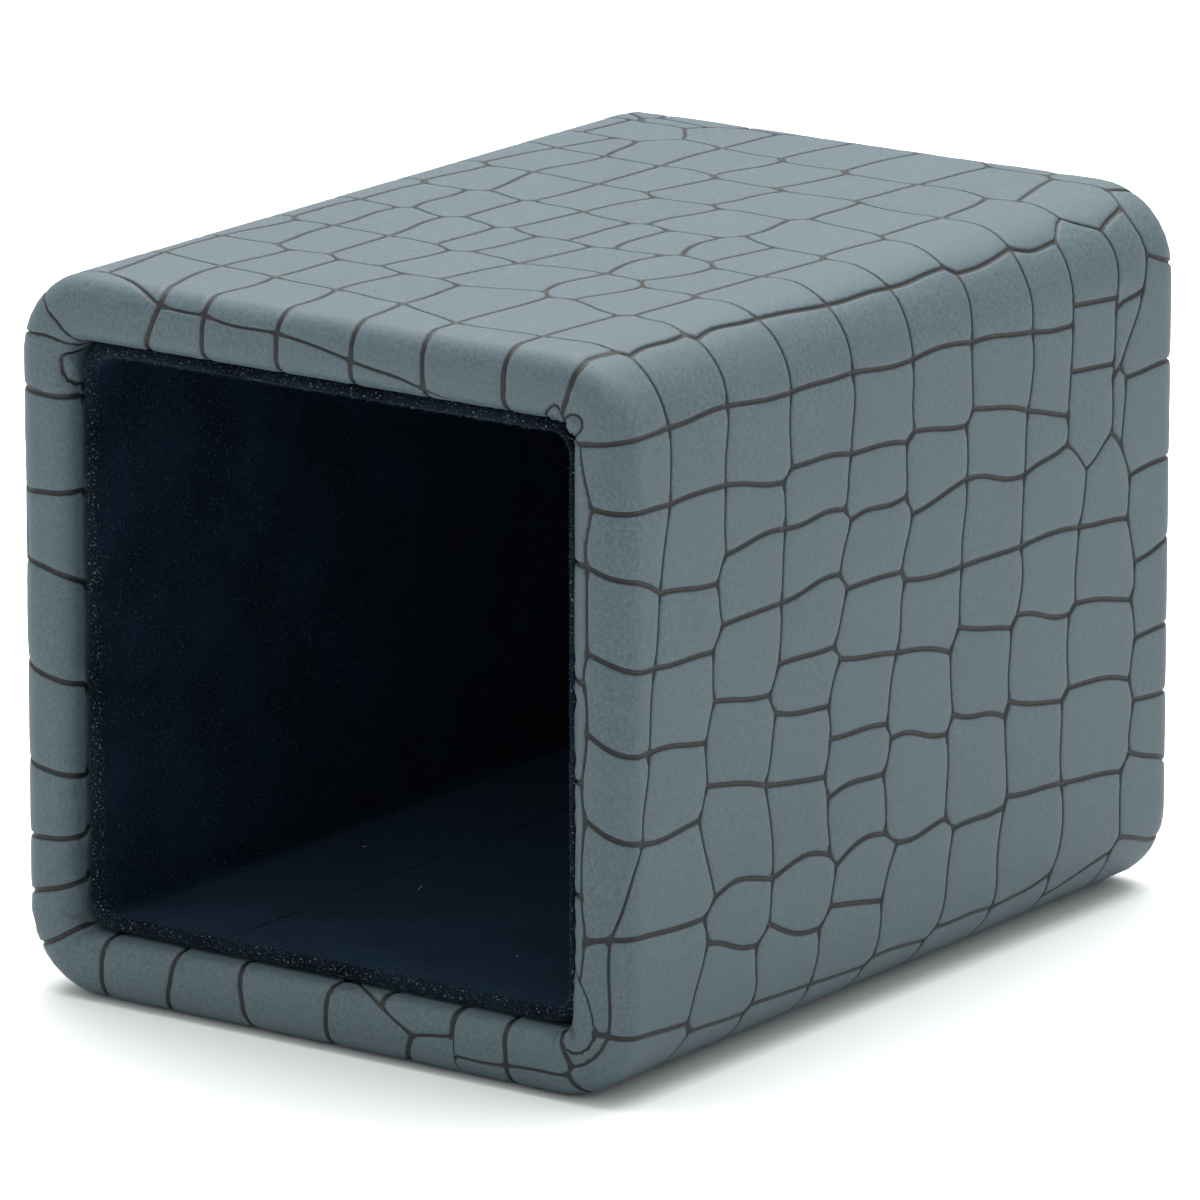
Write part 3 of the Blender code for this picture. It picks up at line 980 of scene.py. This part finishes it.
def lining_section():
    """The lining's section, (inset, depth) round the cloth: its pile side and then its back."""
    turn_at = LINING_FRONT + FOLD_RADIUS
    pile = []
    for part in range(FOLD_PARTS_FRONT + 1):
        angle = math.pi - math.pi * part / FOLD_PARTS_FRONT
        inset = FOLD_RADIUS + FOLD_RADIUS * math.cos(angle)
        pile.append((inset, turn_at - FOLD_RADIUS * math.sin(angle)))
    depth = turn_at + 0.8
    while depth < LINING_BACK - 1:
        pile.append((LINING_FACE, depth))
        depth += 0.8 if depth < turn_at + 4 else 2.2
    pile.append((LINING_FACE, LINING_BACK))
    back_radius = FOLD_RADIUS - VELVET
    back = [(LINING_FACE - VELVET, LINING_BACK), (LINING_FACE - VELVET, LINING_BACK / 2),
            (LINING_FACE - VELVET, turn_at + 1)]
    for part in range(FOLD_PARTS_BACK + 1):
        angle = math.pi * part / FOLD_PARTS_BACK
        inset = FOLD_RADIUS + back_radius * math.cos(angle)
        back.append((inset, turn_at - back_radius * math.sin(angle)))
    return pile, back


def velvet_lining():
    """One strip of velvet round the inside, folded over the cards' front edges."""
    places = lining_path(LINING_STEP)
    pile, back = lining_section()
    ring = len(pile) + len(back)
    front_waver, face_waver = smooth_waves(3, 5, 14.0), smooth_waves(5, 6, 22.0)
    verts, faces, run = [], [], 0.0
    for number, place in enumerate(places):
        if number:
            run += LINING_STEP if places[number - 1][0] == place[0] else LINING_CORNER_STEP
        for inset, depth in pile:
            nearness = max(0.0, 1 - (depth - LINING_FRONT) / FOLD_WAVER_REACH)
            shift = FOLD_WAVER * float(front_waver(run)) * nearness
            spot = run * FACE_WAVER_AROUND + depth * FACE_WAVER_DOWN
            swell = FACE_WAVER * float(face_waver(spot)) * min(1.0, depth / FACE_WAVER_FROM)
            verts.append(lining_point(place, inset + swell * (inset > FOLD_RADIUS), depth + shift))
        for inset, depth in back:
            verts.append(lining_point(place, inset, depth))
    for row in range(len(places) - 1):
        for n in range(ring):
            here, after = row * ring + n, row * ring + (n + 1) % ring
            faces.append((here, after, after + ring, here + ring))
    last = (len(places) - 1) * ring
    faces += cap_of(pile, back, 0, False) + cap_of(pile, back, last, True)
    made = mesh_object("velvet_lining", verts, faces)
    made.data.set_sharp_from_angle(angle=SHARP_VELVET)
    fold_end = (LINING_FRONT + FOLD_RADIUS + FOLD_FINISH_PAST - LENGTH / 2) * MM
    for face in made.data.polygons:
        face.material_index = int(face.center.y < fold_end)
    return made


def cap_of(pile, back, first, turned):
    """Triangles that close one cut end of the lining."""
    points = [Vector(spot) for spot in pile + back]
    made = delaunay_2d_cdt(points, [], [list(range(len(points)))[::-1]], 1, 1e-6)
    caps = []
    for face in made[2]:
        corners = [first + made[3][number][0] for number in face]
        caps.append(tuple(corners[::-1] if turned else corners))
    return caps


lining = velvet_lining()
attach(lining, "root")
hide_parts("lining_velvet")


# The padded floor

PAD_LOW, PAD_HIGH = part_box("floor_velvet")
PAD_EDGE = 1.3 * MM  # the rounding of its edge
PAD_COVER = 0.35 * MM
PAD_CLEAR = 0.4 * MM  # how much narrower than the CAD's it is, to swell into
PAD_CUTS = 29  # cuts across each long edge
PAD_HELD = 1.5 * MM  # the cover is held from this far behind its front
CLOTH_FRAMES = 20
SWELL_PRESSURE, COVER_TENSION, COVER_BENDING = 4, 30, 2
SWELL_CAP = 0.7 * MM


def floor_pad():
    """The velvet cover of the floor's foam pad, swelled a little by a cloth simulation."""
    bpy.ops.object.select_all(action="DESELECT")
    size = PAD_HIGH - PAD_LOW
    middle = (PAD_HIGH + PAD_LOW) / 2
    bpy.ops.mesh.primitive_cube_add(size=1, location=middle)
    made = bpy.context.object
    made.name = "velvet_floor_pad"
    made.scale = (size.x - PAD_CLEAR, size.y, size.z - PAD_CLEAR)
    bpy.ops.object.transform_apply(location=True, rotation=False, scale=True)
    bpy.ops.object.mode_set(mode="EDIT")
    bpy.ops.mesh.select_all(action="SELECT")
    bpy.ops.mesh.bevel(offset=PAD_EDGE, segments=3, affect="EDGES")
    bpy.ops.object.mode_set(mode="OBJECT")
    mesh = made.data
    work = bmesh.new()
    work.from_mesh(mesh)
    under = [face for face in work.faces if face.normal.y > 0.9]
    bmesh.ops.delete(work, geom=under, context="FACES")
    long_edges = [edge for edge in work.edges if edge.calc_length() > 10 * MM]
    bmesh.ops.subdivide_edges(work, edges=long_edges, cuts=PAD_CUTS, use_grid_fill=True)
    work.to_mesh(mesh)
    work.free()
    held = made.vertex_groups.new(name="held")
    held.add([v.index for v in mesh.vertices if v.co.y > PAD_LOW.y + PAD_HELD], 1, "REPLACE")
    swell_with_cloth(made, held)
    select_only(made)
    cover = made.modifiers.new("cover", "SOLIDIFY")
    cover.thickness, cover.offset = PAD_COVER, -1
    bpy.ops.object.modifier_apply(modifier="cover")
    made.data.shade_smooth()
    made.data.set_sharp_from_angle(angle=SHARP_VELVET)
    return made


def select_only(piece):
    """Deselects all else, and makes this the active piece."""
    bpy.ops.object.select_all(action="DESELECT")
    piece.select_set(True)
    bpy.context.view_layer.objects.active = piece


def swell_with_cloth(piece, held):
    """Blows the cover up a little round its held edge, with no point moved over the cap."""
    before = [vertex.co.copy() for vertex in piece.data.vertices]
    select_only(piece)
    cloth = piece.modifiers.new("cloth", "CLOTH")
    cloth.settings.vertex_group_mass = held.name
    cloth.settings.effector_weights.gravity = 0
    cloth.settings.use_pressure = True
    cloth.settings.uniform_pressure_force = SWELL_PRESSURE
    cloth.settings.tension_stiffness = COVER_TENSION
    cloth.settings.bending_stiffness = COVER_BENDING
    cloth.point_cache.frame_end = CLOTH_FRAMES
    for frame_number in range(1, CLOTH_FRAMES + 1):
        bpy.context.scene.frame_set(frame_number)
    bpy.ops.object.modifier_apply(modifier="cloth")
    bpy.context.scene.frame_set(1)
    for vertex, place in zip(piece.data.vertices, before):
        moved = vertex.co - place
        if moved.length > SWELL_CAP:
            moved *= SWELL_CAP / moved.length
        vertex.co = place + moved


pad = floor_pad()
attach(pad, "root")
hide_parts("floor_velvet")


# Nap along the lining's fold, and lint

NAP_COUNT = 7000
NAP_SEED = 11
NAP_FROM, NAP_TO = -0.08, 0.95  # the fold's turn that has nap, as shares of half a turn
NAP_ROOT = 0.96  # how far out the roots are, as a share of the fold's radius
NAP_SHORTEST, NAP_LONGEST = 0.16, 0.38
NAP_THICKNESS, LINT_THICKNESS = 0.06, 0.1
NAP_LEAN, LINT_BEND = 0.45, 0.4  # random spread of a fibre's way
# Lint: where it lies in the cup, and how long each of its three short lengths is
LINT_SPOTS = ((-8.0, -22.0, 8.6, 0.5), (6.0, 4.0, 8.55, 0.3), (14.0, -35.0, 8.6, 0.25),
              (-22.0, -12.0, 8.55, 0.25), (9.5, -45.5, 66.2, 0.3), (-20.0, -44.0, 66.2, 0.3))
LINT_RISE = 0.2  # how far it slants off the velvet
LINT_OVERLAP = 0.6  # each length starts at this share of the one before


def blade(verts, faces, root, way, length, thickness, rng):
    """One fibre: a thin three-sided spike, closed at its root."""
    side = way.cross(Vector([rng.uniform(-1, 1) for _ in range(3)]))
    side.normalize()
    other = way.cross(side)
    first = len(verts)
    for turn in (0, 2 * math.pi / 3, 4 * math.pi / 3):
        verts.append(root + (side * math.cos(turn) + other * math.sin(turn)) * thickness / 2)
    verts.append(root + way * length)
    faces += [(first + 2, first + 1, first), (first, first + 1, first + 3),
              (first + 1, first + 2, first + 3), (first + 2, first, first + 3)]


def nap_fibres():
    """Fibres that stand out of the lining's front fold and soften its outline."""
    rng = random.Random(NAP_SEED)
    places = lining_path(LINING_STEP)
    verts, faces = [], []
    for _ in range(NAP_COUNT):
        number = rng.randrange(len(places) - 1)
        if places[number][0] != places[number + 1][0]:
            continue
        share = rng.random()
        side, across_a, turn_a = places[number]
        _, across_b, turn_b = places[number + 1]
        place = (side, across_a + (across_b - across_a) * share, turn_a + (turn_b - turn_a) * share)
        angle = math.pi * rng.uniform(NAP_FROM, NAP_TO)
        inset = FOLD_RADIUS + FOLD_RADIUS * NAP_ROOT * math.cos(angle)
        depth = LINING_FRONT + FOLD_RADIUS - FOLD_RADIUS * NAP_ROOT * math.sin(angle)
        root = lining_point(place, inset, depth)
        tip = lining_point(place, inset + math.cos(angle), depth - math.sin(angle))
        way = (tip - root).normalized()
        way += Vector([rng.gauss(0, NAP_LEAN) for _ in range(3)])
        way.normalize()
        length = rng.uniform(NAP_SHORTEST, NAP_LONGEST) * MM
        blade(verts, faces, root, way, length, NAP_THICKNESS * MM, rng)
    return mesh_object("velvet_nap", verts, faces, smooth=False)


nap = nap_fibres()
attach(nap, "root")


def lint():
    """A few pale fibres caught on the velvet."""
    verts, faces = [], []
    rng = random.Random(NAP_SEED + 1)
    for x, y, z, length in LINT_SPOTS:
        across, along = rng.uniform(-1, 1), rng.uniform(-1, 1)
        way = Vector((across, along, rng.uniform(-LINT_RISE, LINT_RISE))).normalized()
        root = Vector((x, y, z)) * MM
        for part in range(3):
            blade(verts, faces, root, way, length * MM, LINT_THICKNESS * MM, rng)
            root = root + way * length * MM * LINT_OVERLAP
            bend = Vector((rng.gauss(0, LINT_BEND), rng.gauss(0, LINT_BEND), 0))
            way = (way + bend).normalized()
    return mesh_object("lint_specks", verts, faces, smooth=False)


specks = lint()
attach(specks, "root")


# Finishes

LEATHER_DARK, LEATHER_LIGHT = "#35464c", "#4b5c62"
LEATHER_COOL, LEATHER_WORN = "#3f4d56", "#4b5c61"
# Painted shade: the grooves' dark colour stands in for the shade in their recesses
GROOVE_SHADE_COLOUR = "#14191b"
SHEEN_COLOUR = "#40586e"


def linear(code, alpha=1.0):
    """A colour given as sRGB hex, as Blender's linear values."""
    parts = [int(code[n:n + 2], 16) / 255 for n in (1, 3, 5)]
    return (*(p / 12.92 if p <= 0.04045 else ((p + 0.055) / 1.055) ** 2.4 for p in parts), alpha)


def add_node(tree, kind, settings=None, links=None):
    """Adds a node, sets its properties and inputs, and links outputs to its inputs."""
    node = tree.nodes.new(kind)
    for name, value in (settings or {}).items():
        if isinstance(name, int) or name in node.inputs:
            node.inputs[name].default_value = value
        else:
            setattr(node, name, value)
    for name, output in (links or {}).items():
        tree.links.new(output, node.inputs[name])
    return node


def per_mm(size):
    """A texture's scale for a pattern that comes again after this many millimetres."""
    return 1 / (size * MM)


def new_finish(name, roughness, specular=0.5):
    """A new material, its node tree and its shader."""
    made = bpy.data.materials.new(name)
    made.use_nodes = True
    shader = made.node_tree.nodes["Principled BSDF"]
    shader.inputs["Roughness"].default_value = roughness
    shader.inputs["Specular IOR Level"].default_value = specular
    return made, made.node_tree, shader


def noise(tree, size, detail=2.0, roughness=0.5):
    """A noise of this grain in millimetres over the whole object, and its value."""
    place = add_node(tree, "ShaderNodeTexCoord")
    return add_node(tree, "ShaderNodeTexNoise",
                    {"Scale": per_mm(size), "Detail": detail, "Roughness": roughness},
                    {"Vector": place.outputs["Object"]}).outputs["Fac"]


def spread(tree, value, low, high, to_low=0.0, to_high=1.0):
    """A value's range from low to high, stretched to another range and held inside it."""
    return add_node(tree, "ShaderNodeMapRange",
                    {"From Min": low, "From Max": high, "To Min": to_low, "To Max": to_high},
                    {"Value": value}).outputs["Result"]


def mixed(tree, factor, first, second):
    """A mix of two colours, each a hex code or another node's output."""
    node = add_node(tree, "ShaderNodeMix", {"data_type": "RGBA"}, {"Factor": factor})
    for socket, colour in ((6, first), (7, second)):
        if isinstance(colour, str):
            node.inputs[socket].default_value = linear(colour)
        else:
            tree.links.new(colour, node.inputs[socket])
    return node.outputs[2]


def roughened(tree, shader, height, depth, strength):
    """Bump of a depth in millimetres."""
    bump = add_node(tree, "ShaderNodeBump", {"Distance": depth * MM, "Strength": strength},
                    {"Height": height})
    tree.links.new(bump.outputs["Normal"], shader.inputs["Normal"])


# Corrected-grain leather: buffed, sprayed with a matt slate pigment and pressed under a hot
# crocodile plate. The eye sees flat matt cells with a fine sandy grain, 0.2 to 0.4 mm, clouds of
# dye about 7 mm wide, and thin grooves darkened with painted shade.
def croc_leather():
    made, tree, shader = new_finish("croc_embossed_leather", 0.56, 0.42)
    groove = add_node(tree, "ShaderNodeAttribute", {"attribute_name": "groove"}).outputs["Fac"]
    tint = add_node(tree, "ShaderNodeAttribute", {"attribute_name": "tint"}).outputs["Fac"]
    grain, fine = noise(tree, 0.42, 3.0, 0.65), noise(tree, 0.2, 1.0)
    cloud = noise(tree, 7.0, 2.0)
    sandy = mixed(tree, spread(tree, grain, 0.36, 0.64), LEATHER_DARK, LEATHER_LIGHT)
    clouded = mixed(tree, spread(tree, cloud, 0.3, 0.7, 0, 0.35), sandy, LEATHER_COOL)
    celled = mixed(tree, spread(tree, tint, 0, 1, 0, 0.22), clouded, LEATHER_WORN)
    # Painted shade: by the groove attribute's depth share, the grooves darken to that colour, with a
    # ragged edge
    edge = add_node(tree, "ShaderNodeMath", {"operation": "MULTIPLY_ADD", 1: 0.34, 2: -0.17}, {0: fine})
    ragged_painted_shade = add_node(tree, "ShaderNodeMath", {"operation": "ADD"}, {0: groove, 1: edge.outputs[0]})
    sunk = spread(tree, ragged_painted_shade.outputs[0], 0.10, 0.42)
    tree.links.new(mixed(tree, sunk, celled, GROOVE_SHADE_COLOUR), shader.inputs["Base Color"])
    rough = spread(tree, grain, 0.3, 0.7, 0.50, 0.66)
    tree.links.new(rough, shader.inputs["Roughness"])
    roughened(tree, shader, grain, 0.05, 0.55)
    return made


# Cotton velvet: a short upright pile on a woven ground. It takes in nearly all light, shows a
# faint blue sheen where it turns away from the eye, and collects pale dust. Its tufts are drawn
# 0.3 mm wide, since real ones, half as wide, are too fine to show. Brushed areas are 9 mm wide.
def pile_velvet(name, deep, lit, dusty, sheen):
    made, tree, shader = new_finish(name, 0.95, 0.04)
    brushed, pile, dust = noise(tree, 9.0, 2.0), noise(tree, 0.3, 2.0, 0.7), noise(tree, 0.24, 1.0)
    base = mixed(tree, spread(tree, brushed, 0.3, 0.7), deep, lit)
    piled = mixed(tree, spread(tree, pile, 0.5, 0.72, 0, 0.6), base, lit)
    flecked = mixed(tree, spread(tree, dust, 0.64, 0.74, 0, 0.6), piled, dusty)
    tree.links.new(flecked, shader.inputs["Base Color"])
    shader.inputs["Sheen Weight"].default_value = sheen
    shader.inputs["Sheen Roughness"].default_value = 0.45
    shader.inputs["Sheen Tint"].default_value = linear(SHEEN_COLOUR)
    roughened(tree, shader, pile, 0.12, 0.8)
    return made


# Ethylene-vinyl foam sheet, skived thin. It is dull off-white with small open cells.
def foam_sheet():
    made, tree, shader = new_finish("white_foam_sheet", 0.9, 0.3)
    cells = noise(tree, 0.6, 2.0, 0.6)
    tree.links.new(mixed(tree, spread(tree, cells, 0.35, 0.65), "#d8d5c8", "#efede6"),
                   shader.inputs["Base Color"])
    roughened(tree, shader, cells, 0.1, 0.6)
    return made


# Medium-density fibreboard: pressed wood fibre, brown and even, with short flecks.
def pressed_board():
    made, tree, shader = new_finish("pressed_fibreboard", 0.85, 0.3)
    flecks, cloud = noise(tree, 0.8, 3.0, 0.7), noise(tree, 12.0, 2.0)
    base = mixed(tree, spread(tree, cloud, 0.3, 0.7), "#8d6f4d", "#a1825d")
    tree.links.new(mixed(tree, spread(tree, flecks, 0.55, 0.75, 0, 0.6), base, "#6f5437"),
                   shader.inputs["Base Color"])
    roughened(tree, shader, flecks, 0.05, 0.5)
    return made


# Greyboard: recycled paper pulp in layers, grey with small light and dark specks.
def grey_card():
    made, tree, shader = new_finish("recycled_greyboard", 0.9, 0.3)
    flecks = noise(tree, 0.5, 3.0, 0.7)
    tree.links.new(mixed(tree, spread(tree, flecks, 0.3, 0.7), "#8a8780", "#a5a29a"),
                   shader.inputs["Base Color"])
    roughened(tree, shader, flecks, 0.03, 0.5)
    return made


# Cotton lint: loose white fibre.
def lint_cotton():
    made, tree, shader = new_finish("cotton_lint", 0.9, 0.3)
    tree.links.new(mixed(tree, noise(tree, 0.2), "#8f969c", "#c9ced2"), shader.inputs["Base Color"])
    return made


leather_finish = croc_leather()
velvet = pile_velvet("black_velvet_pile", "#01060e", "#0b1a2a", "#4a5664", 0.8)
fold_velvet = pile_velvet("black_velvet_fold", "#04080d", "#101a22", "#7a848c", 0.35)
nap_velvet = pile_velvet("black_velvet_nap", "#1a242e", "#3c4853", "#8a949c", 0.5)
board, card, foam = pressed_board(), grey_card(), foam_sheet()
for piece, finishes in ((leather, [leather_finish]), (base_panel, [leather_finish]),
                        (lining, [velvet, fold_velvet]), (pad, [velvet]), (nap, [nap_velvet]),
                        (specks, [lint_cotton()])):
    for finish in finishes:
        piece.data.materials.append(finish)
for name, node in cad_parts.items():
    if "velvet" in name:
        finish = velvet
    elif "padding" in name or "foam" in name:
        finish = foam
    elif "core" in name:
        finish = board
    elif "card" in name:
        finish = card
    else:
        finish = leather_finish
    node.data.materials.clear()
    node.data.materials.append(finish)


# Floor, light and camera

FLOOR_COLOUR = "#e4e6e6"
FLOOR_SIZE, FLOOR_DROP = 6, 0.1 * MM
SKY = 0.9
SOFTBOX_SIZE, SOFTBOX_POWER, SOFTBOX_AT = 2.4, 95.0, (-0.3, 0.6, 2.0)
SOFTBOX_AIM = (0, 0, 0.04)
CAMERA_AT = (0.6005, -0.8437, 0.3060)
CAMERA_AZIMUTH, CAMERA_ELEVATION = math.radians(35.482), math.radians(14.632)
CAMERA_LENS, CAMERA_SENSOR, CAMERA_REACH = 313.2, 36, 20


def studio():
    """A pale floor, an even white sky and one large soft lamp above and behind."""
    bpy.ops.object.select_all(action="DESELECT")
    bpy.ops.mesh.primitive_plane_add(size=FLOOR_SIZE, location=(0, 0, -FLOOR_DROP))
    floor = bpy.context.object
    floor.name = "studio_floor"
    made, _, shader = new_finish("pale_floor", 0.95, 0.1)
    shader.inputs["Base Color"].default_value = linear(FLOOR_COLOUR)
    floor.data.materials.append(made)
    select_only(floor)
    bpy.ops.object.transform_apply(location=True, rotation=False, scale=True)
    world = bpy.data.worlds.new("studio")
    bpy.context.scene.world = world
    world.use_nodes = True
    world.node_tree.nodes["Background"].inputs["Color"].default_value = (1, 1, 1, 1)
    world.node_tree.nodes["Background"].inputs["Strength"].default_value = SKY
    data = bpy.data.lights.new("softbox", "AREA")
    data.size = SOFTBOX_SIZE
    data.energy = SOFTBOX_POWER
    lamp = bpy.data.objects.new("softbox", data)
    lamp.location = SOFTBOX_AT
    aim = Vector(SOFTBOX_AIM) - lamp.location
    lamp.rotation_euler = aim.to_track_quat("-Z", "Y").to_euler()
    bpy.context.scene.collection.objects.link(lamp)


def camera():
    """A long lens that looks into the mouth from the right and from above."""
    data = bpy.data.cameras.new("camera")
    data.lens = CAMERA_LENS
    data.sensor_width = CAMERA_SENSOR
    data.clip_end = CAMERA_REACH
    eye = bpy.data.objects.new("camera", data)
    eye.location = CAMERA_AT
    eye.rotation_euler = (QUARTER - CAMERA_ELEVATION, 0, CAMERA_AZIMUTH)
    bpy.context.scene.collection.objects.link(eye)
    bpy.context.scene.camera = eye


studio()
camera()
bpy.context.scene.view_settings.view_transform = "Standard"
